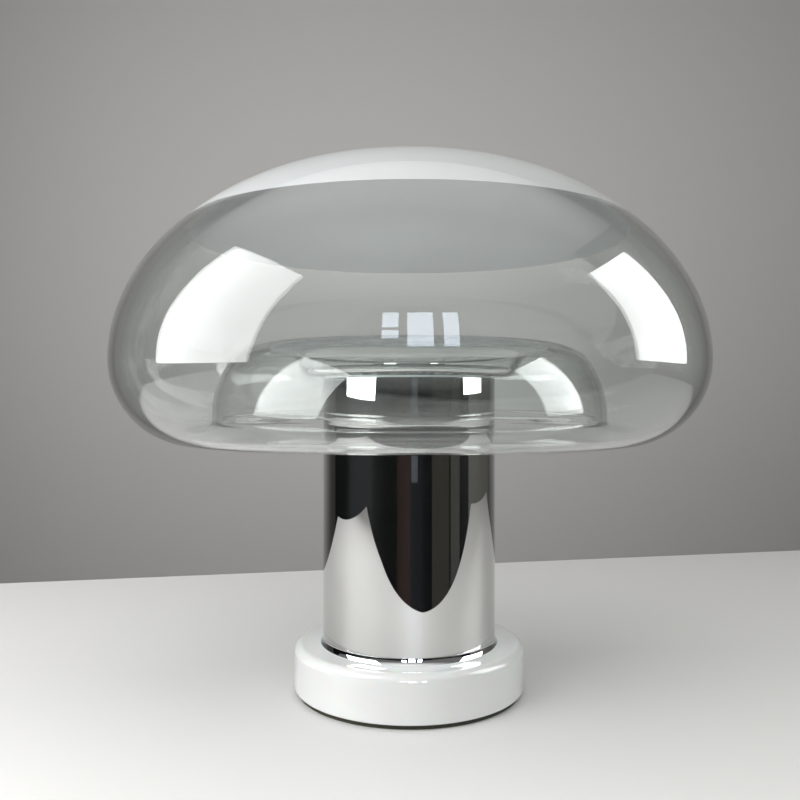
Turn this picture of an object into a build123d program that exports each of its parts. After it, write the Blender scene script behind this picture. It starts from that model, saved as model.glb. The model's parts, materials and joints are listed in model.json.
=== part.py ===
"""Mushroom table lamp: a blown-glass shade on a steel column and an opal glass base.

Millimetres, +Z up. The origin is the middle of the felt's underside, and the lamp's axis is Z.
The cable outlet is at the back, on the +Y side.
"""

from build123d import *
from math import asin, cos, degrees, radians, sin
import os

# ---- driving dimensions -------------------------------------------------------------------

# clearances
SLIDE_GAP = 0.3        # between the lifting shade and what it passes over
SEAT_GAP = 0.05        # between pieces that fit into each other and stay together
HOLE_GAP = 0.3         # between a screw or rod and a plain hole
LAMP_GAP = 0.4         # between the lamp's rim and the collar
HOLDER_GAP = 0.3       # between the lamp's foot and its holder
ENTRY_GAP = 0.5        # round the heads of the lamp's pins on their way out

# shares of a screw's head
HEAD_BEVEL = 0.45      # of its height
SLOT_WIDTH = 0.3       # of its radius
SLOT_DEPTH = 0.4       # of its height

# base
FELT_THICKNESS = 3.1
FELT_INSET = 2.7
BASE_RADIUS = 83.7
BASE_TOP_Z = 35.7
BASE_WALL = 5.0
BASE_TOP_EDGE = 6.0
BASE_FOOT_EDGE = 1.6
BASE_INNER_EDGE = 4.0
BASE_HOLE_RADIUS = 22.0
PLATE_THICKNESS = 3.0
PLATE_EDGE_GAP = 0.6
BALLAST_EDGE_GAP = 4.0
BALLAST_CHAMFER = 2.0
BASE_GASKET_THICKNESS = 1.0
BASE_GASKET_RADIUS = 60.0
OUTLET_Z = 15.0
OUTLET_BORE_RADIUS = 3.6
GROMMET_WALL = 1.8
GROMMET_LIP = 2.2
GROMMET_LIP_THICKNESS = 1.6
CABLE_CHANNEL_WIDTH = 16.0

# column
COLUMN_RADIUS = 63.1
COLUMN_WALL = 1.5
FOOT_RING_HEIGHT = 4.4
FOOT_RING_WIDTH = 13.0
FOOT_RING_SPIGOT = 5.0
FOOT_RING_FLARE = 1.7      # how much wider the ring is at its foot than the column
FOOT_RING_EDGE = 0.3
BULKHEAD_THICKNESS = 3.0
BULKHEAD_VENTS = 6
BULKHEAD_VENT_RADIUS = 6.0
BULKHEAD_VENT_CIRCLE = 42.0
BULKHEAD_CABLE_HOLE = 5.0
BULKHEAD_CABLE_OFFSET = 15.0
CAP_THICKNESS = 2.0
CAP_SKIRT_DEPTH = 10.0
CAP_EDGE = 0.5
SHADE_GASKET_THICKNESS = 1.0
SHADE_GASKET_INSET = 3.1

# threaded tube that clamps the base and the column together
ROD_RADIUS = 5.0
ROD_BORE_RADIUS = 3.6
ROD_END_PROUD = 3.0
NUT_ACROSS_FLATS = 14.0
NUT_THICKNESS = 2.5
WASHER_RADIUS = 10.5
WASHER_THICKNESS = 1.6
FELT_NUT_HOLE = 13.0

# collar that stands in the middle of the dish
COLLAR_WALL = 1.2
COLLAR_PROUD = 5.5
COLLAR_DEPTH = 22.0
COLLAR_FLANGE = 2.6
COLLAR_FLANGE_HEIGHT = 0.7
COLLAR_STEP = 0.4
COLLAR_LIP = 0.4
COLLAR_NUT_WIDTH = 4.5
COLLAR_NUT_THICKNESS = 3.0

# reflector lamp in the collar
LAMP_RADIUS = 25.0
LAMP_RIM_HEIGHT = 3.0
LAMP_RECESS = 1.5
LAMP_GLASS_THICKNESS = 1.6
LAMP_WALL = 1.2
LAMP_BULGE = 0.78      # how far the bowl swells from neck to rim, at half its height
LAMP_BODY_HEIGHT = 32.0
LAMP_NECK_RADIUS = 11.5
LAMP_NECK_HEIGHT = 15.0
LAMP_NECK_TAPER = 1.5
PIN_SPACING = 10.0
PIN_RADIUS = 1.6
PIN_HEAD_RADIUS = 2.4
PIN_HEAD_HEIGHT = 2.0
PIN_LENGTH = 7.0
LAMP_TURN = 25.0       # degrees from locked to free

# lampholder and the bridge it hangs in
HOLDER_RADIUS = 14.0
HOLDER_HEIGHT = 17.0
HOLDER_EDGE = 1.0
HOLDER_LIP = 3.0
HOLDER_TRACK_DEPTH = 6.5
CONTACT_WIDTH = 3.0
CONTACT_LENGTH = 3.8
CONTACT_THICKNESS = 0.5
BRIDGE_THICKNESS = 1.5
BRIDGE_WIDTH = 16.0
BRIDGE_LEG_OFFSET = 37.0
BRIDGE_FOOT = 9.0
BRIDGE_SCREW_INSET = 4.0
BRIDGE_BEND = 2.0
SMALL_SCREW_RADIUS = 1.5
SMALL_HEAD_RADIUS = 2.8
SMALL_HEAD_HEIGHT = 2.0
HOLDER_SCREW_SPACING = 21.0
HOLDER_SCREW_LENGTH = 7.0

# terminal block and the leads of the lampholder
BLOCK_WIDTH = 22.0
BLOCK_DEPTH = 16.0
BLOCK_HEIGHT = 14.0
BLOCK_OFFSET = 34.0
BLOCK_EDGE = 1.0
SLEEVE_RADIUS = 2.6
SLEEVE_BORE = 1.5
SLEEVE_Z = 7.0
SLEEVE_INSET = 1.0
TERMINAL_SCREW_RADIUS = 1.3
TERMINAL_SCREW_SPACING = 7.2
TERMINAL_WELL_RADIUS = 2.0
TERMINAL_WELL_DEPTH = 3.0
LEAD_RADIUS = 1.0
LEAD_BEND = 9.0
LEAD_ENTRY = 6.0
LEAD_DROP = 28.0       # straight down from the holder before the leads swing aside
LEAD_SWING = 45.0      # height over which they swing aside
LEAD_CLEAR = 9.0       # from the terminal block's face to the leads' lower stretch
EARTH_SCREW_RADIUS = 2.0
EARTH_SCREW_OFFSET = 30.0
EARTH_HEAD_RADIUS = 4.0
EARTH_HEAD_HEIGHT = 2.6
EARTH_SHANK = 8.0

# shade: a blown wall that runs from the crown down the dome to the lowest ring, up the bell inside
# it to the crest and down the dish to the collar, as arcs of (radius, heading where each ends).
# The wall's stretches are solids that meet face to face
SHADE_TOP_Z = 385.3
SHADE_WALL = 4.0
DOME_ARCS = [(308.0, 18.0), (197.0, 45.0), (131.0, 70.0), (105.0, 90.0), (58.0, 130.0), (60.0, 160.0)]
TOP_HEADING = 45.0     # where the top meets the shoulder
SHOULDER_HEADING = 75.0
SIDE_HEADING = 110.0   # where the side meets the fold
FOLD_RADIUS = 30.5
CREASE_RADIUS = 2.5    # where the fold's underside turns up into the bell
CREASE_HEADING = 228.0
VALLEY_RADIUS = 4.0    # where the valley's floor turns up into the bell
VALLEY_HEADING = 221.0
BELL_HEADING = 237.0   # where the bell meets the crest
CREST_RADIUS = 102.9
CREST_Z = 251.7
DISH_DROP = 20.4       # from the crest down to the dish's floor, on the upper side
CREST_ARCS = [(25.0, 210.0), (37.5, 180.0)]
DISH_ARCS = [(40.0, 150.0), (9.0, 110.0)]
DISH_CORNER_RADIUS = 7.0
CROWN_THICKNESS = 1.3
CROWN_EDGE_RADIUS = 158.5

# ---- sizes that follow --------------------------------------------------------------------

FELT_RADIUS = BASE_RADIUS - FELT_INSET
PLATE_Z = FELT_THICKNESS
BASE_CEILING_Z = BASE_TOP_Z - BASE_WALL
BASE_INNER_RADIUS = BASE_RADIUS - BASE_WALL
BALLAST_Z = PLATE_Z + PLATE_THICKNESS
BALLAST_TOP_Z = BASE_CEILING_Z - BASE_GASKET_THICKNESS
TUBE_Z = BASE_TOP_Z + FOOT_RING_HEIGHT
SHADE_GASKET_RADIUS = COLUMN_RADIUS - SHADE_GASKET_INSET
COLUMN_INNER_RADIUS = COLUMN_RADIUS - COLUMN_WALL
BULKHEAD_Z = TUBE_Z + FOOT_RING_SPIGOT
BULKHEAD_TOP_Z = BULKHEAD_Z + BULKHEAD_THICKNESS
DISH_FLOOR_Z = CREST_Z - DISH_DROP
DISH_UNDERSIDE_Z = DISH_FLOOR_Z - SHADE_WALL
CAP_TOP_Z = DISH_UNDERSIDE_Z - SHADE_GASKET_THICKNESS
CAP_Z = CAP_TOP_Z - CAP_THICKNESS
COLLAR_TOP_Z = DISH_FLOOR_Z + COLLAR_PROUD
COLLAR_BORE_RADIUS = LAMP_RADIUS + LAMP_GAP
COLLAR_RADIUS = COLLAR_BORE_RADIUS + COLLAR_WALL
COLLAR_SHANK_RADIUS = COLLAR_RADIUS - COLLAR_STEP
DISH_HOLE_RADIUS = COLLAR_RADIUS + SLIDE_GAP
LAMP_TOP_Z = COLLAR_TOP_Z - LAMP_RECESS
LAMP_BODY_Z = LAMP_TOP_Z - LAMP_BODY_HEIGHT
LAMP_NECK_Z = LAMP_BODY_Z - LAMP_NECK_HEIGHT
PIN_Z = LAMP_NECK_Z - PIN_LENGTH
HOLDER_TOP_Z = LAMP_NECK_Z - HOLDER_GAP
HOLDER_Z = HOLDER_TOP_Z - HOLDER_HEIGHT
BRIDGE_Z = HOLDER_Z - BRIDGE_THICKNESS
BRIDGE_FOOT_Z = CAP_Z - BRIDGE_THICKNESS
TRACK_TOP_Z = HOLDER_TOP_Z - HOLDER_LIP
TRACK_FLOOR_Z = TRACK_TOP_Z - HOLDER_TRACK_DEPTH
BLOCK_FACE_Y = -BLOCK_OFFSET + BLOCK_DEPTH / 2
LEAD_END_Z = BULKHEAD_TOP_Z + SLEEVE_Z


# ---- drawing and shaping helpers ----------------------------------------------------------

# headings turn from 0 (outwards, at the crown) through 90 (down) on round to 270 (up)
OUT_HEADING, IN_HEADING, UP_HEADING = 0, 180, 270


def heading_vector(heading):
    """Direction along a heading in the (radius, height) half-plane."""
    return cos(radians(heading)), -sin(radians(heading))


def arc_shift(radius, start, end):
    """How far a tangent arc moves the pen, turning from one heading to another."""
    side = 1 if end > start else -1
    dr = side * radius * (sin(radians(end)) - sin(radians(start)))
    dz = side * radius * (cos(radians(end)) - cos(radians(start)))
    return dr, dz


def arcs_shift(arcs, heading):
    """Total shift of a chain of tangent arcs, given as (radius, end heading)."""
    total_r, total_z = 0.0, 0.0
    for radius, end in arcs:
        dr, dz = arc_shift(radius, heading, end)
        total_r += dr
        total_z += dz
        heading = end
    return total_r, total_z


def offset_arcs(arcs, change):
    """The same chain with every radius made larger by change."""
    return [(radius + change, end) for radius, end in arcs]


def arcs_between(arcs, start, end):
    """The stretch of a chain of arcs that lies between two headings."""
    starts = [OUT_HEADING] + [stop for _, stop in arcs]
    return [(radius, min(stop, end)) for begin, (radius, stop) in zip(starts, arcs)
            if begin < end and stop > start]


def solve_two(first, second, target):
    """Amounts of two shifts that add up to the target shift."""
    det = first[0] * second[1] - first[1] * second[0]
    amount_first = (target[0] * second[1] - target[1] * second[0]) / det
    amount_second = (first[0] * target[1] - first[1] * target[0]) / det
    return amount_first, amount_second


class Pen:
    """Draws an outline in the XZ half-plane as lines and tangent arcs."""

    def __init__(self, r, z, heading=OUT_HEADING):
        self.r, self.z, self.heading = r, z, heading
        self.edges = []

    def run(self, length):
        """Straight on along the present heading."""
        dr, dz = heading_vector(self.heading)
        self.line_to(self.r + length * dr, self.z + length * dz)
        return self

    def line_to(self, r, z):
        """Straight to a point, whatever the heading."""
        self.edges.append(Line((self.r, 0, self.z), (r, 0, z)))
        self.r, self.z = r, z
        return self

    def arcs(self, arcs):
        """Tangent arcs, given as (radius, end heading)."""
        for radius, end in arcs:
            middle = (self.heading + end) / 2
            mr, mz = arc_shift(radius, self.heading, middle)
            dr, dz = arc_shift(radius, self.heading, end)
            via = (self.r + mr, 0, self.z + mz)
            goal = (self.r + dr, 0, self.z + dz)
            self.edges.append(ThreePointArc((self.r, 0, self.z), via, goal))
            self.r, self.z, self.heading = goal[0], goal[2], end
        return self


def turned(edges):
    """Solid of revolution about Z from closed outline edges in the XZ plane."""
    return revolve(make_face(edges), axis=Axis.Z)


def turned_rounded(corners):
    """Solid of revolution from (radius, height, corner radius) points of a closed outline."""
    points = [(r, 0, z) for r, z, _ in corners]
    return turned(FilletPolyline(points, radius=[fillet for _, _, fillet in corners], close=True).edges())


def turned_cut(corners):
    """Solid of revolution from (radius, height, chamfer) points of a closed outline."""
    points = []
    for place, (r, z, cut) in enumerate(corners):
        corner = Vector(r, 0, z)
        if cut == 0:
            points.append(corner)
            continue
        for other_r, other_z, _ in (corners[place - 1], corners[(place + 1) % len(corners)]):
            points.append(corner + (Vector(other_r, 0, other_z) - corner).normalized() * cut)
    return turned(Polyline(points, close=True).edges())


def tube(outer, inner, low, high):
    """Ring of rectangular section."""
    return turned_cut([(inner, low, 0), (outer, low, 0), (outer, high, 0), (inner, high, 0)])


def rod(radius, low, high, x=0.0, y=0.0):
    """Upright cylinder between two heights."""
    return Pos(x, y, low) * Cylinder(radius, high - low, align=(Align.CENTER, Align.CENTER, Align.MIN))


def hex_nut(low):
    """Thin hexagon nut on the threaded tube."""
    outline = RegularPolygon(NUT_ACROSS_FLATS / 2, 6, major_radius=False) - Circle(ROD_RADIUS + SEAT_GAP)
    return Pos(0, 0, low) * extrude(outline, NUT_THICKNESS)


def screw(radius, length, head_radius, head_height):
    """Pan-head screw, its shank up from z = 0 and its head below."""
    head = turned_cut([(0, -head_height, 0), (head_radius, -head_height, head_height * HEAD_BEVEL),
                       (head_radius, 0, 0), (0, 0, 0)])
    slot = Box(2 * head_radius, head_radius * SLOT_WIDTH, 2 * head_height * SLOT_DEPTH)
    slot = Pos(0, 0, -head_height) * slot
    return head - slot + rod(radius, 0, length)


# ---- base ---------------------------------------------------------------------------------

def base_felt():
    """Olive felt pad that the lamp stands on, open in the middle for the nut."""
    return tube(FELT_RADIUS, FELT_NUT_HOLE, 0, FELT_THICKNESS)


def base_plate():
    """Steel bottom plate inside the glass rim, pulled up against the ballast."""
    return tube(BASE_INNER_RADIUS - PLATE_EDGE_GAP, ROD_RADIUS + HOLE_GAP, PLATE_Z, BALLAST_Z)


def cable_path(radius, inner, outer):
    """Round bar along Y at the height of the cable outlet."""
    bar = Cylinder(radius, outer - inner, align=(Align.CENTER, Align.CENTER, Align.MIN))
    return Pos(0, inner, OUTLET_Z) * Rot(-90, 0, 0) * bar


def base_glass():
    """Opal glass cup, open below, with the rod's hole in its top and the cable hole behind."""
    shell = turned_rounded([
        (BASE_INNER_RADIUS, FELT_THICKNESS, 0),
        (BASE_RADIUS, FELT_THICKNESS, BASE_FOOT_EDGE),
        (BASE_RADIUS, BASE_TOP_Z, BASE_TOP_EDGE),
        (BASE_HOLE_RADIUS, BASE_TOP_Z, 0),
        (BASE_HOLE_RADIUS, BASE_CEILING_Z, 0),
        (BASE_INNER_RADIUS, BASE_CEILING_Z, BASE_INNER_EDGE),
    ])
    hole_radius = OUTLET_BORE_RADIUS + GROMMET_WALL + SEAT_GAP
    return shell - cable_path(hole_radius, COLUMN_RADIUS, BASE_RADIUS + BASE_WALL)


def cable_grommet():
    """Rubber bushing in the cable hole, with a lip on each side of the glass."""
    outside = BASE_RADIUS + GROMMET_LIP_THICKNESS
    inside = BASE_INNER_RADIUS - GROMMET_LIP_THICKNESS
    sleeve_radius = OUTLET_BORE_RADIUS + GROMMET_WALL
    lip_radius = sleeve_radius + GROMMET_LIP
    grommet = cable_path(lip_radius, inside, outside)
    wall = tube(BASE_RADIUS, BASE_INNER_RADIUS, 0, BASE_TOP_Z) - cable_path(sleeve_radius, inside, outside)
    return grommet - wall - cable_path(OUTLET_BORE_RADIUS, inside, outside)


def base_ballast():
    """Cast-iron weight between plate and glass, with a channel for the cable."""
    ballast = turned_cut([
        (ROD_RADIUS + HOLE_GAP, BALLAST_Z, 0),
        (BASE_INNER_RADIUS - BALLAST_EDGE_GAP, BALLAST_Z, BALLAST_CHAMFER),
        (BASE_INNER_RADIUS - BALLAST_EDGE_GAP, BALLAST_TOP_Z, BALLAST_CHAMFER),
        (ROD_RADIUS + HOLE_GAP, BALLAST_TOP_Z, 0),
    ])
    start = ROD_RADIUS + HOLE_GAP + GROMMET_WALL
    floor_z = OUTLET_Z - OUTLET_BORE_RADIUS - GROMMET_WALL - GROMMET_LIP
    channel = Box(CABLE_CHANNEL_WIDTH, BASE_RADIUS, BASE_TOP_Z, align=(Align.CENTER, Align.MIN, Align.MIN))
    return ballast - Pos(0, start, floor_z) * channel


def base_gasket():
    """Rubber washer between the ballast and the underside of the glass."""
    return tube(BASE_GASKET_RADIUS, BASE_HOLE_RADIUS, BALLAST_TOP_Z, BASE_CEILING_Z)


# ---- column -------------------------------------------------------------------------------

def foot_ring():
    """Chrome ring that flares out under the column, with a spigot that centres the tube."""
    inner = COLUMN_RADIUS - FOOT_RING_WIDTH
    spigot_radius = COLUMN_INNER_RADIUS - SEAT_GAP
    return turned_cut([
        (inner, BASE_TOP_Z, 0),
        (COLUMN_RADIUS + FOOT_RING_FLARE, BASE_TOP_Z, FOOT_RING_EDGE),
        (COLUMN_RADIUS, TUBE_Z, 0),
        (spigot_radius, TUBE_Z, 0),
        (spigot_radius, BULKHEAD_Z, 0),
        (inner, BULKHEAD_Z, 0),
    ])


def column_tube():
    """Polished steel tube between the foot ring and the cap."""
    return tube(COLUMN_RADIUS, COLUMN_INNER_RADIUS, TUBE_Z, CAP_Z)


def column_bulkhead():
    """Disc welded across the tube's foot, which the threaded tube clamps."""
    disc = tube(COLUMN_INNER_RADIUS - SEAT_GAP, ROD_RADIUS + HOLE_GAP, BULKHEAD_Z, BULKHEAD_TOP_Z)
    hole = Cylinder(BULKHEAD_VENT_RADIUS, BULKHEAD_THICKNESS * 3)
    for place in PolarLocations(BULKHEAD_VENT_CIRCLE, BULKHEAD_VENTS):
        disc -= Pos(0, 0, BULKHEAD_Z) * place * hole
    disc -= rod(BULKHEAD_CABLE_HOLE, BULKHEAD_Z, BULKHEAD_TOP_Z, 0, BULKHEAD_CABLE_OFFSET)
    disc -= rod(EARTH_SCREW_RADIUS + SEAT_GAP, BULKHEAD_Z, BULKHEAD_TOP_Z, 0, EARTH_SCREW_OFFSET)
    return disc - rod(SMALL_SCREW_RADIUS + SEAT_GAP, BULKHEAD_Z, BULKHEAD_TOP_Z, 0, -BLOCK_OFFSET)


def column_cap():
    """Spun lid of the tube, with a skirt inside and the collar's hole in the middle."""
    skirt_outer = COLUMN_INNER_RADIUS - SEAT_GAP
    skirt_inner = skirt_outer - COLUMN_WALL
    hole = COLLAR_SHANK_RADIUS + SEAT_GAP
    cap = turned_cut([
        (hole, CAP_Z, 0),
        (skirt_inner, CAP_Z, 0),
        (skirt_inner, CAP_Z - CAP_SKIRT_DEPTH, 0),
        (skirt_outer, CAP_Z - CAP_SKIRT_DEPTH, 0),
        (skirt_outer, CAP_Z, 0),
        (COLUMN_RADIUS, CAP_Z, 0),
        (COLUMN_RADIUS, CAP_TOP_Z, CAP_EDGE),
        (hole, CAP_TOP_Z, 0),
    ])
    for x in bridge_screw_places():
        cap -= rod(SMALL_SCREW_RADIUS + SEAT_GAP, CAP_Z, CAP_TOP_Z, x)
    return cap


def shade_gasket():
    """Clear silicone ring that the dish rests on."""
    inner = COLLAR_SHANK_RADIUS + COLLAR_FLANGE + HOLE_GAP
    return tube(SHADE_GASKET_RADIUS, inner, CAP_TOP_Z, DISH_UNDERSIDE_Z)


def lamp_collar():
    """Turned chrome collar that stands through the dish and centres the shade."""
    flange_top = CAP_TOP_Z + COLLAR_FLANGE_HEIGHT
    bottom = COLLAR_TOP_Z - COLLAR_DEPTH
    return turned_cut([
        (COLLAR_BORE_RADIUS, bottom, 0),
        (COLLAR_SHANK_RADIUS, bottom, 0),
        (COLLAR_SHANK_RADIUS, CAP_TOP_Z, 0),
        (COLLAR_SHANK_RADIUS + COLLAR_FLANGE, CAP_TOP_Z, 0),
        (COLLAR_SHANK_RADIUS + COLLAR_FLANGE, flange_top, 0),
        (COLLAR_RADIUS, flange_top, 0),
        (COLLAR_RADIUS, COLLAR_TOP_Z, COLLAR_LIP),
        (COLLAR_BORE_RADIUS, COLLAR_TOP_Z, COLLAR_LIP),
    ])


def collar_nut():
    """Ring nut that holds the collar from below the cap."""
    outer = COLLAR_SHANK_RADIUS + COLLAR_NUT_WIDTH
    ring = tube(outer, COLLAR_SHANK_RADIUS + SEAT_GAP, CAP_Z - COLLAR_NUT_THICKNESS, CAP_Z)
    notch = Box(COLLAR_NUT_WIDTH, COLLAR_NUT_WIDTH, COLLAR_NUT_THICKNESS * 3)
    for place in PolarLocations(outer, 4, start_angle=45):
        ring -= Pos(0, 0, CAP_Z) * place * notch
    return ring


# ---- threaded tube and its fasteners ------------------------------------------------------

def rod_low_z():
    """Underside of the lower nut, which stays inside the felt."""
    return PLATE_Z - NUT_THICKNESS


def tie_rod():
    """Hollow threaded tube through plate, ballast, glass and bulkhead."""
    top = BULKHEAD_TOP_Z + WASHER_THICKNESS + NUT_THICKNESS + ROD_END_PROUD
    return tube(ROD_RADIUS, ROD_BORE_RADIUS, rod_low_z(), top)


def tie_nuts():
    """The two thin nuts at the ends of the threaded tube."""
    return Compound([hex_nut(rod_low_z()), hex_nut(BULKHEAD_TOP_Z + WASHER_THICKNESS)])


def tie_washer():
    """Washer under the upper nut."""
    return tube(WASHER_RADIUS, ROD_RADIUS + HOLE_GAP, BULKHEAD_TOP_Z, BULKHEAD_TOP_Z + WASHER_THICKNESS)


# ---- reflector lamp -----------------------------------------------------------------------

def lamp_bowl(wall, foot_z):
    """Curve of the lamp's bowl from rim to neck, a wall's thickness inside the outer one."""
    bowl_z = LAMP_TOP_Z - LAMP_RIM_HEIGHT
    bulge_r = LAMP_NECK_RADIUS + (LAMP_RADIUS - LAMP_NECK_RADIUS) * LAMP_BULGE - wall
    middle = (bulge_r, 0, (bowl_z + LAMP_BODY_Z) / 2)
    return ThreePointArc((LAMP_RADIUS - wall, 0, bowl_z), middle, (LAMP_NECK_RADIUS - wall, 0, foot_z))


def lamp_reflector():
    """Pressed-glass reflector: a straight rim over a hollow bowl that narrows to the neck."""
    rim_z = LAMP_TOP_Z - LAMP_GLASS_THICKNESS
    outer, inner = lamp_bowl(0, LAMP_BODY_Z), lamp_bowl(LAMP_WALL, LAMP_BODY_Z + LAMP_WALL)
    rim = Polyline(outer @ 0, (LAMP_RADIUS, 0, rim_z), (LAMP_RADIUS - LAMP_WALL, 0, rim_z), inner @ 0)
    foot = Polyline(outer @ 1, (0, 0, LAMP_BODY_Z), (0, 0, LAMP_BODY_Z + LAMP_WALL), inner @ 1)
    return turned([outer, inner] + rim.edges() + foot.edges())


def lamp_front_glass():
    """Flat front glass on the reflector's rim."""
    low = LAMP_TOP_Z - LAMP_GLASS_THICKNESS
    return turned_cut([(0, low, 0), (LAMP_RADIUS, low, 0), (LAMP_RADIUS, LAMP_TOP_Z, COLLAR_LIP),
                       (0, LAMP_TOP_Z, 0)])


def lamp_neck():
    """Ceramic foot of the lamp."""
    return turned_cut([
        (0, LAMP_NECK_Z, 0),
        (LAMP_NECK_RADIUS - LAMP_NECK_TAPER, LAMP_NECK_Z, HOLDER_EDGE),
        (LAMP_NECK_RADIUS, LAMP_BODY_Z, 0),
        (0, LAMP_BODY_Z, 0),
    ])


def lamp_pins():
    """The two headed pins under the lamp."""
    pins = []
    for x in (-PIN_SPACING / 2, PIN_SPACING / 2):
        head = rod(PIN_HEAD_RADIUS, PIN_Z, PIN_Z + PIN_HEAD_HEIGHT, x)
        pins.append((rod(PIN_RADIUS, PIN_Z, LAMP_NECK_Z, x) + head).solid())
    return Compound(pins)


# ---- lampholder ---------------------------------------------------------------------------

def pin_tracks(width, low, high):
    """Curved slots that the pins follow from their locked place to their way out."""
    path = CenterArc((0, 0), PIN_SPACING / 2, 0, LAMP_TURN)
    slot = Pos(0, 0, low) * extrude(SlotArc(path, width), high - low)
    return slot + Rot(0, 0, 180) * slot


def way_out(low, high):
    """Round holes that let the pins' heads out when the lamp has turned."""
    hole = rod(PIN_HEAD_RADIUS + ENTRY_GAP, low, high, PIN_SPACING / 2)
    return Rot(0, 0, LAMP_TURN) * hole + Rot(0, 0, LAMP_TURN + 180) * hole


def lampholder_body():
    """Ceramic twist-lock holder with two keyhole tracks."""
    body = turned_cut([
        (0, HOLDER_Z, 0), (HOLDER_RADIUS, HOLDER_Z, 0),
        (HOLDER_RADIUS, HOLDER_TOP_Z, HOLDER_EDGE), (0, HOLDER_TOP_Z, 0),
    ])
    body -= pin_tracks(2 * (PIN_RADIUS + HOLE_GAP), TRACK_TOP_Z, HOLDER_TOP_Z)
    body -= way_out(TRACK_TOP_Z, HOLDER_TOP_Z)
    body -= pin_tracks(2 * (PIN_HEAD_RADIUS + HOLE_GAP), TRACK_FLOOR_Z, TRACK_TOP_Z)
    for x in holder_screw_places():
        body -= rod(SMALL_SCREW_RADIUS + SEAT_GAP, HOLDER_Z, HOLDER_Z + HOLDER_SCREW_LENGTH, x)
    for x in (-PIN_SPACING / 2, PIN_SPACING / 2):
        body -= rod(LEAD_RADIUS + SEAT_GAP, HOLDER_Z, TRACK_FLOOR_Z, x)
    return body


def lampholder_contacts():
    """Brass spring leaves that press on the pins' heads from below."""
    height = PIN_Z - HOLDER_GAP / 2 - TRACK_FLOOR_Z
    half = CONTACT_LENGTH / 2
    thin = CONTACT_THICKNESS
    outline = Polyline((-half, 0), (half, 0), (half, height), (-half, height), (-half, height - thin),
                       (half - thin, height - thin), (half - thin, thin), (-half, thin), close=True)
    leaf = extrude(Plane.XZ * make_face(outline), CONTACT_WIDTH / 2, both=True)
    leaves = [(Pos(x, 0, TRACK_FLOOR_Z) * leaf).solid() for x in (-PIN_SPACING / 2, PIN_SPACING / 2)]
    return Compound(leaves)


def holder_screw_places():
    """X of the two screws that hold the lampholder to its bridge."""
    return -HOLDER_SCREW_SPACING / 2, HOLDER_SCREW_SPACING / 2


def bridge_screw_places():
    """X of the two screws that hold the bridge's feet to the cap."""
    place = BRIDGE_LEG_OFFSET + BRIDGE_FOOT - BRIDGE_SCREW_INSET
    return -place, place


def lampholder_bridge():
    """Bent steel strip that hangs from the cap and carries the lampholder."""
    leg_in = BRIDGE_LEG_OFFSET - BRIDGE_THICKNESS
    end = BRIDGE_LEG_OFFSET + BRIDGE_FOOT
    outer_bend = BRIDGE_BEND + BRIDGE_THICKNESS
    right = [(leg_in, HOLDER_Z, BRIDGE_BEND), (leg_in, CAP_Z, outer_bend), (end, CAP_Z, 0),
             (end, BRIDGE_FOOT_Z, 0), (BRIDGE_LEG_OFFSET, BRIDGE_FOOT_Z, BRIDGE_BEND),
             (BRIDGE_LEG_OFFSET, BRIDGE_Z, outer_bend)]
    corners = right + [(-x, z, bend) for x, z, bend in reversed(right)]
    bends = [bend for _, _, bend in corners]
    outline = FilletPolyline([(x, z) for x, z, _ in corners], radius=bends, close=True)
    bridge = extrude(Plane.XZ * make_face(outline), BRIDGE_WIDTH / 2, both=True)
    for x in bridge_screw_places():
        bridge -= rod(SMALL_SCREW_RADIUS + HOLE_GAP, BRIDGE_FOOT_Z, CAP_Z, x)
    for x in holder_screw_places():
        bridge -= rod(SMALL_SCREW_RADIUS + HOLE_GAP, BRIDGE_Z, HOLDER_Z, x)
    for x in (-PIN_SPACING / 2, PIN_SPACING / 2):
        bridge -= rod(2 * LEAD_RADIUS, BRIDGE_Z, HOLDER_Z, x)
    return bridge


def bridge_screws():
    """Two screws from below through the bridge's feet into the cap."""
    length = BRIDGE_THICKNESS + CAP_THICKNESS - SEAT_GAP
    item = screw(SMALL_SCREW_RADIUS, length, SMALL_HEAD_RADIUS, SMALL_HEAD_HEIGHT)
    return Compound([(Pos(x, 0, BRIDGE_FOOT_Z) * item).solid() for x in bridge_screw_places()])


def holder_screws():
    """Two screws from below through the bridge into the lampholder."""
    length = BRIDGE_THICKNESS + HOLDER_SCREW_LENGTH - HOLE_GAP
    item = screw(SMALL_SCREW_RADIUS, length, SMALL_HEAD_RADIUS, SMALL_HEAD_HEIGHT)
    return Compound([(Pos(x, 0, BRIDGE_Z) * item).solid() for x in holder_screw_places()])


# ---- terminal block and leads -------------------------------------------------------------

def pole_places():
    """X of the two poles, in line with the lamp's pins."""
    return -PIN_SPACING / 2, PIN_SPACING / 2


def block_screw_places():
    """(x, y) of the four clamping screws."""
    half = TERMINAL_SCREW_SPACING / 2
    return [(x, y) for x in pole_places() for y in (-BLOCK_OFFSET - half, -BLOCK_OFFSET + half)]


def sleeve_bar(radius, length, x):
    """Round bar along Y through one pole of the block."""
    bar = Cylinder(radius, length)
    return Pos(x, -BLOCK_OFFSET, LEAD_END_Z) * Rot(90, 0, 0) * bar


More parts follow.
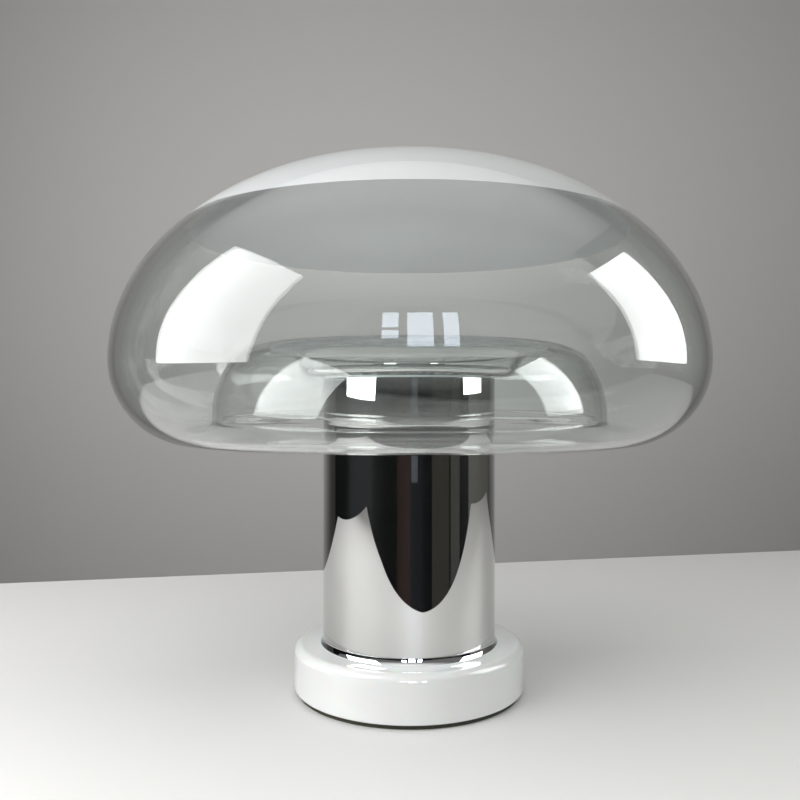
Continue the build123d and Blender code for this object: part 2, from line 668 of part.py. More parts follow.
def terminal_block():
    """Two-pole ceramic block on the bulkhead."""
    block = Box(BLOCK_WIDTH, BLOCK_DEPTH, BLOCK_HEIGHT, align=(Align.CENTER, Align.CENTER, Align.MIN))
    block = fillet(block.edges().filter_by(Axis.Z), BLOCK_EDGE)
    block = Pos(0, -BLOCK_OFFSET, BULKHEAD_TOP_Z) * block
    top = BULKHEAD_TOP_Z + BLOCK_HEIGHT
    for x in pole_places():
        block -= sleeve_bar(SLEEVE_RADIUS + SEAT_GAP, BLOCK_DEPTH - 2 * SLEEVE_INSET, x)
        block -= sleeve_bar(SLEEVE_BORE, BLOCK_DEPTH * 2, x)
    for x, y in block_screw_places():
        block -= rod(TERMINAL_WELL_RADIUS, LEAD_END_Z, top, x, y)
    block -= rod(SMALL_HEAD_RADIUS + HOLE_GAP, top - TERMINAL_WELL_DEPTH, top, 0, -BLOCK_OFFSET)
    return block - rod(SMALL_SCREW_RADIUS + HOLE_GAP, BULKHEAD_TOP_Z, top, 0, -BLOCK_OFFSET)


def terminal_sleeves():
    """Brass sleeves of the two poles."""
    sleeves = []
    for x in pole_places():
        sleeve = sleeve_bar(SLEEVE_RADIUS, BLOCK_DEPTH - 2 * SLEEVE_INSET, x)
        sleeve -= sleeve_bar(SLEEVE_BORE, BLOCK_DEPTH, x)
        for screw_x, y in block_screw_places():
            if screw_x == x:
                top = LEAD_END_Z + 2 * SLEEVE_RADIUS
                sleeve -= rod(TERMINAL_SCREW_RADIUS + SEAT_GAP, LEAD_END_Z, top, x, y)
        sleeves.append(sleeve.solid())
    return Compound(sleeves)


def terminal_screws():
    """Four slotted screws that clamp the conductors in the sleeves."""
    low = LEAD_END_Z + LEAD_RADIUS + SEAT_GAP
    high = BULKHEAD_TOP_Z + BLOCK_HEIGHT - TERMINAL_WELL_DEPTH
    item = rod(TERMINAL_SCREW_RADIUS, 0, high - low)
    slot = Box(2 * TERMINAL_SCREW_RADIUS, TERMINAL_SCREW_RADIUS * SLOT_WIDTH, TERMINAL_SCREW_RADIUS)
    item -= Pos(0, 0, high - low) * slot
    return Compound([(Pos(x, y, low) * item).solid() for x, y in block_screw_places()])


def block_screw():
    """Screw from above through the block into the bulkhead."""
    length = BLOCK_HEIGHT - TERMINAL_WELL_DEPTH + BULKHEAD_THICKNESS
    item = screw(SMALL_SCREW_RADIUS, length, SMALL_HEAD_RADIUS, SMALL_HEAD_HEIGHT)
    seat = BULKHEAD_TOP_Z + BLOCK_HEIGHT - TERMINAL_WELL_DEPTH
    return Pos(0, -BLOCK_OFFSET, seat) * Rot(180, 0, 0) * item


def earth_screw():
    """Screw on the bulkhead for the protective conductor."""
    item = screw(EARTH_SCREW_RADIUS, EARTH_SHANK, EARTH_HEAD_RADIUS, EARTH_HEAD_HEIGHT)
    return Pos(0, EARTH_SCREW_OFFSET, BULKHEAD_TOP_Z) * Rot(180, 0, 0) * item


def lampholder_leads():
    """Two insulated leads from the lampholder down to the terminal block."""
    lower_y = BLOCK_FACE_Y + LEAD_CLEAR
    knee_z = BRIDGE_Z - LEAD_DROP
    leads = []
    for x in pole_places():
        route = [(0, TRACK_FLOOR_Z), (0, knee_z), (lower_y, knee_z - LEAD_SWING),
                 (lower_y, LEAD_END_Z), (BLOCK_FACE_Y - LEAD_ENTRY, LEAD_END_Z)]
        path = FilletPolyline([(x, y, z) for y, z in route], radius=LEAD_BEND)
        section = Plane((x, 0, TRACK_FLOOR_Z), z_dir=(0, 0, -1)) * Circle(LEAD_RADIUS)
        leads.append(sweep(section, path=path).solid())
    return Compound(leads)


# ---- shade --------------------------------------------------------------------------------

def dome_arcs(inset):
    """Arcs from the crown down to the lowest ring, inset from the dome's outer face."""
    return offset_arcs(DOME_ARCS + [(FOLD_RADIUS, IN_HEADING)], -inset)


def lowest_ring(inset):
    """Pen that has drawn the dome down to its lowest ring, inset from its outer face."""
    return Pen(0, SHADE_TOP_Z - inset).arcs(dome_arcs(inset))


def bell_side(foot_arcs, depth):
    """Pen from the lowest ring round the bell's foot and up to the crest, depth under its upper side.

    Two sizes follow from where the crest lies: the upright stretch at the foot, and the bell's radius.
    """
    start = lowest_ring(SHADE_WALL - depth)
    pen = Pen(start.r, start.z, IN_HEADING).arcs(foot_arcs)
    crest_arcs = offset_arcs(CREST_ARCS, -depth)
    crest = arcs_shift(crest_arcs, BELL_HEADING)
    left = (CREST_RADIUS - pen.r - crest[0], CREST_Z - depth - pen.z - crest[1])
    unit_arc = arc_shift(1.0, UP_HEADING, BELL_HEADING)
    upright, radius = solve_two(heading_vector(UP_HEADING), unit_arc, left)
    return pen.run(upright).arcs([(radius, BELL_HEADING)] + crest_arcs)


def bell_underside():
    """Pen from the lowest ring over the crease and up the bell's underside to the crest."""
    return bell_side([(FOLD_RADIUS, CREASE_HEADING), (CREASE_RADIUS, UP_HEADING)], SHADE_WALL)


def bell_upper_side():
    """Pen from the valley's lowest ring up the bell's upper side to the crest."""
    return bell_side([(FOLD_RADIUS - SHADE_WALL, VALLEY_HEADING), (VALLEY_RADIUS, UP_HEADING)], 0)


def dish_side(depth):
    """Pen from the crest down the dish's wall to its floor, depth under its upper side."""
    rim = arcs_shift(DISH_ARCS + [(DISH_CORNER_RADIUS, IN_HEADING)], IN_HEADING)
    wall_run = (-DISH_DROP - rim[1]) / heading_vector(DISH_ARCS[-1][1])[1]
    pen = Pen(CREST_RADIUS, CREST_Z - depth, IN_HEADING).arcs(offset_arcs(DISH_ARCS, -depth))
    return pen.run(wall_run).arcs([(DISH_CORNER_RADIUS + depth, IN_HEADING)])


def line_between(first, second):
    """Straight edge between the places of two pens."""
    return Line((first.r, 0, first.z), (second.r, 0, second.z))


def dome_band(start, end):
    """Clear wall of the dome between two headings, cut square to its faces."""
    edges, ends = [], []
    for inset in (0, SHADE_WALL):
        arcs = dome_arcs(inset)
        first = Pen(0, SHADE_TOP_Z - inset).arcs(arcs_between(arcs, OUT_HEADING, start))
        last = Pen(first.r, first.z, start).arcs(arcs_between(arcs, start, end))
        edges += last.edges
        ends.append((first, last))
    (outer_first, outer_last), (inner_first, inner_last) = ends
    return turned(edges + [line_between(outer_first, inner_first), line_between(outer_last, inner_last)])


def shade_top():
    """Clear top of the dome, which the opal layer backs."""
    return dome_band(OUT_HEADING, TOP_HEADING)


def shade_shoulder():
    """Clear shoulder of the dome."""
    return dome_band(TOP_HEADING, SHOULDER_HEADING)


def shade_side():
    """Clear side of the dome, where it is widest."""
    return dome_band(SHOULDER_HEADING, SIDE_HEADING)


def shade_fold():
    """Clear wall that rolls under to the lowest ring, where it runs on into the bell."""
    return dome_band(SIDE_HEADING, IN_HEADING)


def shade_bell():
    """Clear inner bell from the lowest ring up to the crest, where it runs on into the dish."""
    underside, upper_side = bell_underside(), bell_upper_side()
    foot = line_between(lowest_ring(0), lowest_ring(SHADE_WALL))
    return turned(underside.edges + upper_side.edges + [foot, line_between(underside, upper_side)])


def shade_dish():
    """Clear wall of the dish in the middle of the bell, down to its floor."""
    underside, upper_side = dish_side(SHADE_WALL), dish_side(0)
    crest = Line((CREST_RADIUS, 0, CREST_Z - SHADE_WALL), (CREST_RADIUS, 0, CREST_Z))
    return turned(underside.edges + upper_side.edges + [crest, line_between(underside, upper_side)])


def shade_floor():
    """Flat clear floor of the dish, with a hole for the collar."""
    return tube(dish_side(0).r, DISH_HOLE_RADIUS, DISH_UNDERSIDE_Z, DISH_FLOOR_Z)


def arcs_to_radius(arcs, edge_radius):
    """The chain of arcs from the axis, ended where it reaches a radius."""
    kept, r, heading = [], 0, OUT_HEADING
    for radius, end in arcs:
        reach = r + arc_shift(radius, heading, end)[0]
        if reach >= edge_radius:
            kept.append((radius, degrees(asin(sin(radians(heading)) + (edge_radius - r) / radius))))
            break
        kept.append((radius, end))
        r, heading = reach, end
    return kept


def shade_crown():
    """Opal layer fused to the inside of the dome, round the top."""
    arcs = arcs_to_radius(offset_arcs(DOME_ARCS, -SHADE_WALL), CROWN_EDGE_RADIUS)
    upper = Pen(0, SHADE_TOP_Z - SHADE_WALL).arcs(arcs)
    lower = Pen(0, SHADE_TOP_Z - SHADE_WALL - CROWN_THICKNESS).arcs(offset_arcs(arcs, -CROWN_THICKNESS))
    middle = Line((0, 0, SHADE_TOP_Z - SHADE_WALL), (0, 0, SHADE_TOP_Z - SHADE_WALL - CROWN_THICKNESS))
    edge = Line((upper.r, 0, upper.z), (lower.r, 0, lower.z))
    return turned(upper.edges + lower.edges + [middle, edge])


# ---- all pieces ---------------------------------------------------------------------------

PIECES = [
    base_felt, base_plate, base_glass, cable_grommet, base_ballast, base_gasket,
    foot_ring, column_tube, column_bulkhead, column_cap, shade_gasket, lamp_collar, collar_nut,
    tie_rod, tie_nuts, tie_washer,
    lamp_reflector, lamp_front_glass, lamp_neck, lamp_pins,
    lampholder_body, lampholder_contacts, lampholder_bridge, bridge_screws, holder_screws,
    terminal_block, terminal_sleeves, terminal_screws, block_screw, earth_screw, lampholder_leads,
    shade_top, shade_shoulder, shade_side, shade_fold, shade_bell, shade_dish, shade_floor, shade_crown,
]

os.makedirs("parts", exist_ok=True)
for piece in PIECES:
    export_step(piece(), f"parts/{piece.__name__}.step")
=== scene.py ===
"""Mushroom table lamp, dressed for its picture.

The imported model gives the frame. The glass, steel and felt that the eye meets are turned here
again as fine surfaces of revolution, from the same sizes in millimetres, and every other piece
keeps its solid and gets a finish.
"""

from __future__ import annotations

import json
import logging
from dataclasses import dataclass
from enum import Enum
from math import asin, cos, degrees, radians, sin, tan

import bpy
import numpy as np
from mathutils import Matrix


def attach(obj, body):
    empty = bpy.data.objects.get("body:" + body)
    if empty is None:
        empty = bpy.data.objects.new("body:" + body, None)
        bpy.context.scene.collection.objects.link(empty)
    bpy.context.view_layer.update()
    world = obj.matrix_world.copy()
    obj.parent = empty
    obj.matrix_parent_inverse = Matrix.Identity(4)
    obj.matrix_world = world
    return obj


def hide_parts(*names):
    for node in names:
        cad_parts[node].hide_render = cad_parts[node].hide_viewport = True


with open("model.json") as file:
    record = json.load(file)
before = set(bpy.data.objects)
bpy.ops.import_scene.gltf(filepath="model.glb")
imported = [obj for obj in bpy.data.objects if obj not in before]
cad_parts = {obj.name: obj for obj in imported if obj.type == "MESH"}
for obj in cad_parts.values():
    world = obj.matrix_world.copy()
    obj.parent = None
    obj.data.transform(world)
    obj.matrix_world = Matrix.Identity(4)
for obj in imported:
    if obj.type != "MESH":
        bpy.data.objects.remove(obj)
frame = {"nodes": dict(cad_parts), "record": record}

LOG = logging.getLogger("mushroom_lamp")
MM = 0.001
SEGMENTS = 224  # turns of every turned surface round the axis
STRAIGHT_STEP = 6.0  # mm between points of an outline
ARC_STEP = 3.5  # degrees between points of an arc in an outline
FILLET_POINTS = 9
GUARD = 0.15  # mm from a fillet to the point that holds its neighbour face flat
SHARP_EDGE = 35  # degrees from which an edge shades as sharp
Colour = tuple[float, float, float]
Point = tuple[float, float, float]


class Body(Enum):
    """The moving bodies that a piece can ride on."""

    STAND = "stand"
    SHADE = "shade"
    LAMP = "lamp"


# ---- outlines and turned surfaces ---------------------------------------------------------


class Outline:
    """A line in the half-plane of radius and height, drawn as runs and tangent arcs.

    Headings turn from 0 (outwards) through 90 (down) and 180 (inwards) to 270 (up).
    """

    def __init__(self, r: float, z: float, heading: float = 0.0) -> None:
        """Starts the line at a radius and height, looking along a heading."""
        self.points: np.ndarray = np.array([[r, z]], dtype=float)
        self.heading = heading

    @property
    def tip(self) -> np.ndarray:
        """Radius and height of the line's present end."""
        return self.points[-1]

    def line_to(self, r: float, z: float) -> Outline:
        """Straight to a point, in even steps of about 6 mm with close ones at both ends.

        Args:
            r: Radius to reach.
            z: Height to reach.

        Returns:
            The outline itself.
        """
        start, goal = self.tip.copy(), np.array([r, z])
        length = float(np.hypot(*(goal - start)))
        steps = np.linspace(0, 1, max(2, int(length / STRAIGHT_STEP) + 1))
        close = min(0.25, 0.2 / max(length, 1e-6))
        steps = np.unique(np.concatenate([steps, [close, 1 - close]]))[1:]
        self.points = np.vstack([self.points, start + steps[:, None] * (goal - start)])
        return self

    def run(self, length: float) -> Outline:
        """Straight on along the present heading."""
        r, z = self.tip + length * heading_vector(self.heading)
        return self.line_to(r, z)

    def bend(self, *arcs: tuple[float, float]) -> Outline:
        """Follows tangent arcs.

        An arc of radius R that turns from heading a to heading h has moved by
        R (sin h - sin a) outwards and R (cos h - cos a) upwards, with the sign of the turn.

        Args:
            arcs: Radius and end heading of each arc.

        Returns:
            The outline itself.
        """
        for radius, end in arcs:
            sweep = abs(end - self.heading)
            count = max(4, int(sweep / ARC_STEP), int(radians(sweep) * radius / STRAIGHT_STEP))
            headings = np.linspace(self.heading, end, count + 1)[1:]
            self.points = np.vstack([self.points, self.tip + arc_shift(radius, self.heading, headings)])
            self.heading = end
        return self


def heading_vector(heading: float) -> np.ndarray:
    """Unit step along a heading, as radius and height."""
    return np.array([cos(radians(heading)), -sin(radians(heading))])


def arc_shift(radius: float, start: float, end: float | np.ndarray) -> np.ndarray:
    """How far a tangent arc moves the line, by the formula of Outline.bend.

    Args:
        radius: Radius of the arc.
        start: Heading at its start.
        end: One or more headings at which its shift is wanted.

    Returns:
        Shifts in radius and height, one row for each heading.
    """
    turns = np.radians(np.asarray(end, dtype=float))
    side = np.where(np.asarray(end) > start, 1.0, -1.0)
    across = side * radius * (np.sin(turns) - sin(radians(start)))
    upwards = side * radius * (np.cos(turns) - cos(radians(start)))
    return np.stack([across, upwards], axis=-1)


def arcs_shift(arcs: list[tuple[float, float]], heading: float) -> np.ndarray:
    """Total shift of a chain of tangent arcs.

    Args:
        arcs: Radius and end heading of each arc.
        heading: Heading at the chain's start.

    Returns:
        Shift in radius and height.
    """
    total = np.zeros(2)
    for radius, end in arcs:
        total += arc_shift(radius, heading, end)
        heading = end
    return total


def thicker(arcs: list[tuple[float, float]], change: float) -> list[tuple[float, float]]:
    """The same chain of arcs with every radius made larger by change."""
    return [(radius + change, end) for radius, end in arcs]


def two_lengths(first: np.ndarray, second: np.ndarray, target: np.ndarray) -> tuple[float, float]:
    """Amounts of two shifts that add up to the target shift."""
    amounts = np.linalg.solve(np.column_stack([first, second]), target)
    return float(amounts[0]), float(amounts[1])


def rounded(corners: list[Point]) -> np.ndarray:
    """Closed outline through corners, each rounded by an arc.

    The arc of fillet f at a corner with half-angle a touches both sides f / tan(a) from the
    corner, and its points turn evenly round a centre that lies f / sin(a) along the bisector.

    Args:
        corners: Radius, height and fillet of each corner, in order.

    Returns:
        Points of the outline, one row of radius and height each.
    """
    places = np.array([corner[:2] for corner in corners])
    rows: list[np.ndarray] = []
    for index, (r, z, fillet) in enumerate(corners):
        here = np.array([r, z])
        sides = [places[index - 1] - here, places[(index + 1) % len(corners)] - here]
        before, after = (side / np.hypot(*side) for side in sides)
        if fillet == 0:
            rows.append(here[None])
            continue
        half = np.arccos(np.clip(before @ after, -1, 1)) / 2
        middle = (before + after) / np.hypot(*(before + after))
        centre = here + middle * fillet / sin(half)
        first, last = (here + side * fillet / np.tan(half) - centre for side in (before, after))
        start = np.arctan2(first[1], first[0])
        sweep = (np.arctan2(last[1], last[0]) - start + np.pi) % (2 * np.pi) - np.pi
        turns = start + np.linspace(0, sweep, FILLET_POINTS)
        arc = centre + fillet * np.column_stack([np.cos(turns), np.sin(turns)])
        rows.append(np.vstack([arc[:1] + before * GUARD, arc, arc[-1:] + after * GUARD]))
    return np.vstack(rows)


def turned(name: str, outline: np.ndarray) -> bpy.types.Object:
    """Sweeps an outline round the lamp's axis.

    The outline's point (r, z) at turn t lies at (r cos t, r sin t, z), for evenly spaced turns.
    An end on the axis becomes one pole vertex, and an outline off the axis is closed.

    Args:
        name: Name of the new object.
        outline: Rows of radius and height in millimetres.

    Returns:
        A smooth-shaded object at the origin, with its faces outwards.
    """
    r, z = outline[:, 0], outline[:, 1]
    if np.sum(r * np.roll(z, -1) - np.roll(r, -1) * z) < 0:
        outline = outline[::-1]
    on_axis = bool(outline[0, 0] < 1e-6)
    rings = outline[1:-1] if on_axis else outline
    turns = np.linspace(0, 2 * np.pi, SEGMENTS, endpoint=False)
    r, z = rings[:, 0, None] * MM, rings[:, 1, None] * MM
    grid = np.stack([r * np.cos(turns), r * np.sin(turns), z + 0 * turns], axis=-1).reshape(-1, 3)
    here = np.arange(SEGMENTS)
    beside = np.roll(here, -1)
    low = np.arange(len(rings) - 1 if on_axis else len(rings))[:, None] * SEGMENTS
    high = (low + SEGMENTS) % (len(rings) * SEGMENTS)
    quads = np.stack([low + here, low + beside, high + beside, high + here], axis=-1).reshape(-1, 4)
    faces = quads.tolist()
    if on_axis:
        poles = np.array([[0, 0, outline[0, 1] * MM], [0, 0, outline[-1, 1] * MM]])
        first, last = len(grid), len(grid) + 1
        top = (len(rings) - 1) * SEGMENTS
        faces += np.stack([np.full(SEGMENTS, first), beside, here], axis=-1).tolist()
        faces += np.stack([top + here, top + beside, np.full(SEGMENTS, last)], axis=-1).tolist()
        grid = np.vstack([grid, poles])
    return mesh_object(name, grid, faces, smooth=True)


def mesh_object(name: str, points: np.ndarray, faces: list[list[int]],
                smooth: bool) -> bpy.types.Object:
    """Puts points and faces into a new object at the origin.

    Args:
        name: Name of the object and its mesh.
        points: Rows of x, y and z in metres.
        faces: Vertex numbers of each face.
        smooth: Whether faces shade smoothly, up to sharp edges.

    Returns:
        The object, linked to the scene.
    """
    mesh = bpy.data.meshes.new(name)
    mesh.from_pydata(points.tolist(), [], faces)
    mesh.polygons.foreach_set("use_smooth", np.full(len(mesh.polygons), smooth))
    if smooth:
        mesh.set_sharp_from_angle(angle=radians(SHARP_EDGE))
    mesh.update()
    piece = bpy.data.objects.new(name, mesh)
    bpy.context.scene.collection.objects.link(piece)
    return piece


# ---- finishes -----------------------------------------------------------------------------


class Recipe:
    """Lays out the nodes of one material."""

    def __init__(self, name: str) -> None:
        """Starts an empty material."""
        self.material = bpy.data.materials.new(name)
        self.material.use_nodes = True
        self.tree = self.material.node_tree
        self.tree.nodes.clear()

    def node(self, kind: str, **settings: object) -> bpy.types.Node:
        """Adds a node and sets its properties.

        Args:
            kind: Blender's name of the node type.
            settings: Properties of the node.

        Returns:
            The node.
        """
        made = self.tree.nodes.new(kind)
        for key, value in settings.items():
            setattr(made, key, value)
        return made

    def join(self, source: bpy.types.NodeSocket, target: bpy.types.NodeSocket) -> None:
        """Links an output to an input."""
        self.tree.links.new(source, target)

    def place(self, stretch: Point = (1, 1, 1)) -> bpy.types.NodeSocket:
        """Object coordinates, multiplied by a stretch along each axis."""
        mapping = self.node("ShaderNodeMapping")
        mapping.inputs["Scale"].default_value = stretch
        self.join(self.node("ShaderNodeTexCoord").outputs["Object"], mapping.inputs["Vector"])
        return mapping.outputs["Vector"]

    def noise(self, scale: float, detail: float = 3,
              stretch: Point = (1, 1, 1)) -> bpy.types.NodeSocket:
        """Fractal noise on object coordinates.

        Args:
            scale: Grains for each metre.
            detail: Octaves of the noise.
            stretch: Extra scale along each axis.

        Returns:
            The noise from 0 to 1.
        """
        made = self.node("ShaderNodeTexNoise")
        made.inputs["Scale"].default_value = scale
        made.inputs["Detail"].default_value = detail
        self.join(self.place(stretch), made.inputs["Vector"])
        return made.outputs["Fac"]

    def blend(self, value: bpy.types.NodeSocket, low: Colour, high: Colour,
              span: tuple[float, float] = (0.3, 0.7)) -> bpy.types.NodeSocket:
        """Colour that goes from low to high as a value crosses a span.

        Args:
            value: The value from 0 to 1.
            low: Colour below the span.
            high: Colour above the span.
            span: Where the change starts and ends.

        Returns:
            The colour.
        """
        made = self.node("ShaderNodeValToRGB")
        for stop, position, colour in zip(made.color_ramp.elements, span, (low, high)):
            stop.position, stop.color = position, (*colour, 1)
        self.join(value, made.inputs["Fac"])
        return made.outputs["Color"]

    def range(self, value: bpy.types.NodeSocket, low: float, high: float) -> bpy.types.NodeSocket:
        """Maps noise between 0.3 and 0.7 onto a range of numbers."""
        made = self.node("ShaderNodeMapRange")
        for place, number in enumerate((0.3, 0.7, low, high), start=1):
            made.inputs[place].default_value = number
        self.join(value, made.inputs[0])
        return made.outputs[0]

    def bump(self, height: bpy.types.NodeSocket, depth: float, strength: float = 1.0,
             under: bpy.types.NodeSocket | None = None) -> bpy.types.NodeSocket:
        """Normal that follows a height.

        Args:
            height: Height from 0 to 1.
            depth: Depth of the relief in metres.
            strength: Share of the relief that shows.
            under: A coarser relief that this one lies on.

        Returns:
            The normal.
        """
        made = self.node("ShaderNodeBump")
        made.inputs["Distance"].default_value = depth
        made.inputs["Strength"].default_value = strength
        self.join(height, made.inputs["Height"])
        if under is not None:
            self.join(under, made.inputs["Normal"])
        return made.outputs["Normal"]

    def mixed(self, first: bpy.types.NodeSocket, second: bpy.types.NodeSocket,
              share: float | bpy.types.NodeSocket) -> bpy.types.NodeSocket:
        """Blends two shaders.

        Args:
            first: Shader at share 0.
            second: Shader at share 1.
            share: The second shader's share, as a number or an output.

        Returns:
            The blended shader.
        """
        mix = self.node("ShaderNodeMixShader")
        if isinstance(share, float):
            mix.inputs["Fac"].default_value = share
        else:
            self.join(share, mix.inputs["Fac"])
        self.join(first, mix.inputs[1])
        self.join(second, mix.inputs[2])
        return mix.outputs[0]

    def surface(self, links: dict[str, bpy.types.NodeSocket], **values: object) -> bpy.types.Node:
        """Adds the surface shader.

        Args:
            links: What feeds each socket that varies over the surface.
            values: Constant of each other socket, with _ for a space.

        Returns:
            The shader node.
        """
        shader = self.node("ShaderNodeBsdfPrincipled")
        for key, value in values.items():
            socket = shader.inputs[key.replace("_", " ")]
            socket.default_value = (*value, 1) if socket.type == "RGBA" else value
        for key, source in links.items():
            self.join(source, shader.inputs[key])
        return shader

    def finish(self, shader: bpy.types.NodeSocket) -> bpy.types.Material:
        """Sends a shader to the output and gives the material."""
        self.join(shader, self.node("ShaderNodeOutputMaterial").inputs["Surface"])
        return self.material


@dataclass(frozen=True)
class ClearGlass:
    """Clear blown glass: faint tint, slow waves of the blowing, and direct light let through.

    The sheen tones its reflections, and let_through is what it leaves of direct light.
    """

    tint: Colour = (0.965, 0.98, 0.975)
    thick_tint: Colour = (0.95, 0.972, 0.965)
    let_through: Colour = (0.93, 0.945, 0.94)
    index: float = 1.5
    wave_depth: float = 0.00005
    sheen: Colour = (0.62, 0.63, 0.63)

    def material(self) -> bpy.types.Material:
        """Glass whose shadow rays pass straight through."""
        recipe = Recipe("clear_glass")
        colour = recipe.blend(recipe.noise(9), self.thick_tint, self.tint)
        waves = recipe.bump(recipe.noise(11, 1), self.wave_depth, 0.6)
        glass = recipe.surface({"Base Color": colour, "Normal": waves}, Roughness=0.0, IOR=self.index,
                               Transmission_Weight=1.0, Specular_Tint=self.sheen)
        clear = recipe.node("ShaderNodeBsdfTransparent")
        clear.inputs["Color"].default_value = (*self.let_through, 1)
        path = recipe.node("ShaderNodeLightPath")
        either = recipe.node("ShaderNodeMath", operation="MAXIMUM")
        recipe.join(path.outputs["Is Shadow Ray"], either.inputs[0])
        recipe.join(path.outputs["Is Diffuse Ray"], either.inputs[1])
        return recipe.finish(recipe.mixed(glass.outputs[0], clear.outputs[0], either.outputs[0]))


@dataclass(frozen=True)
class OpalLayer:
    """Milk-white layer of the crown, cloudy in depth, dull where the clear glass covers it."""

    name: str = "opal_crown"
    milk: Colour = (0.79, 0.797, 0.81)
    cloud: Colour = (0.755, 0.764, 0.78)
    gloss: float = 0.5
    glow_through: float = 0.16

    def material(self) -> bpy.types.Material:
        """White glass that glows through where it is thin."""
        recipe = Recipe(self.name)
        colour = recipe.blend(recipe.noise(14, 2), self.cloud, self.milk)
        shader = recipe.surface({"Base Color": colour}, Roughness=0.16, Specular_IOR_Level=self.gloss)
        through = recipe.node("ShaderNodeBsdfTranslucent")
        recipe.join(colour, through.inputs["Color"])
        return recipe.finish(recipe.mixed(shader.outputs[0], through.outputs[0], self.glow_through))


@dataclass(frozen=True)
class OpalGlass:
    """White opal glass of the base, fire polished."""

    milk: Colour = (0.88, 0.888, 0.884)
    cloud: Colour = (0.855, 0.864, 0.862)

    def material(self) -> bpy.types.Material:
        """Glossy white glass with slow waves and a cloudy depth."""
        recipe = Recipe("opal_base")
        colour = recipe.blend(recipe.noise(30, 2), self.cloud, self.milk)
        waves = recipe.bump(recipe.noise(24, 1), 0.0001, 0.35)
        shader = recipe.surface({"Base Color": colour, "Normal": waves}, Roughness=0.05, IOR=1.52,
                                Subsurface_Weight=0.15, Subsurface_Scale=0.004)
        return recipe.finish(shader.outputs[0])


@dataclass(frozen=True)
class Metal:
    """A bare or plated metal, with polishing marks that run round the axis and faint stains.

    The smear is the share of the surface that the marks scatter along the height.
    """

    name: str
    light: Colour
    dark: Colour
    roughness: tuple[float, float] = (0.02, 0.05)
    mark_depth: float = 0.0
    smear: float = 0.0

    def material(self) -> bpy.types.Material:
        """Metal whose marks vary quickly with height and slowly round the axis."""
        recipe = Recipe(self.name)
        colour = recipe.blend(recipe.noise(18, 4), self.dark, self.light)
        rough = recipe.range(recipe.noise(35, 3), *self.roughness)
        links = {"Base Color": colour, "Roughness": rough}
        if self.mark_depth:
            marks = recipe.noise(1.0, 2, (12, 12, 1500))
            links["Normal"] = recipe.bump(marks, self.mark_depth)
        mirror = recipe.surface(links, Metallic=1.0)
        if not self.smear:
            return recipe.finish(mirror.outputs[0])
        round_axis = recipe.node("ShaderNodeTangent", direction_type="RADIAL", axis="Z")
        streaks = recipe.surface({"Base Color": colour, "Tangent": round_axis.outputs[0]}, Metallic=1.0,
                                 Roughness=0.36, Anisotropic=1.0, Anisotropic_Rotation=0.25)
        return recipe.finish(recipe.mixed(mirror.outputs[0], streaks.outputs[0], self.smear))


@dataclass(frozen=True)
class Dull:
    """A matt or satin stuff with a grain: felt, rubber, ceramic, iron, silicone."""

    name: str
    light: Colour
    dark: Colour
    roughness: float = 0.7
    grain: float = 900
    grain_depth: float = 0.0001

    def material(self) -> bpy.types.Material:
        """Grain in colour and relief, on object coordinates."""
        recipe = Recipe(self.name)
        grain = recipe.noise(self.grain, 4)
        links = {"Base Color": recipe.blend(grain, self.dark, self.light),
                 "Normal": recipe.bump(grain, self.grain_depth, 0.6)}
        return recipe.finish(recipe.surface(links, Roughness=self.roughness).outputs[0])


@dataclass(frozen=True)
class FrostedGlass:
    """Satin front glass of the reflector lamp, with fine ridges round its middle."""

    def material(self) -> bpy.types.Material:
        """Milky satin glass."""
        recipe = Recipe("lamp_glass")
        grain = recipe.noise(1600, 2)
        links = {"Base Color": recipe.blend(recipe.noise(60), (0.72, 0.74, 0.74), (0.82, 0.84, 0.84)),
                 "Normal": recipe.bump(grain, 0.00004, 0.5)}
        shader = recipe.surface(links, Roughness=0.35, IOR=1.5, Transmission_Weight=0.35)
        return recipe.finish(shader.outputs[0])


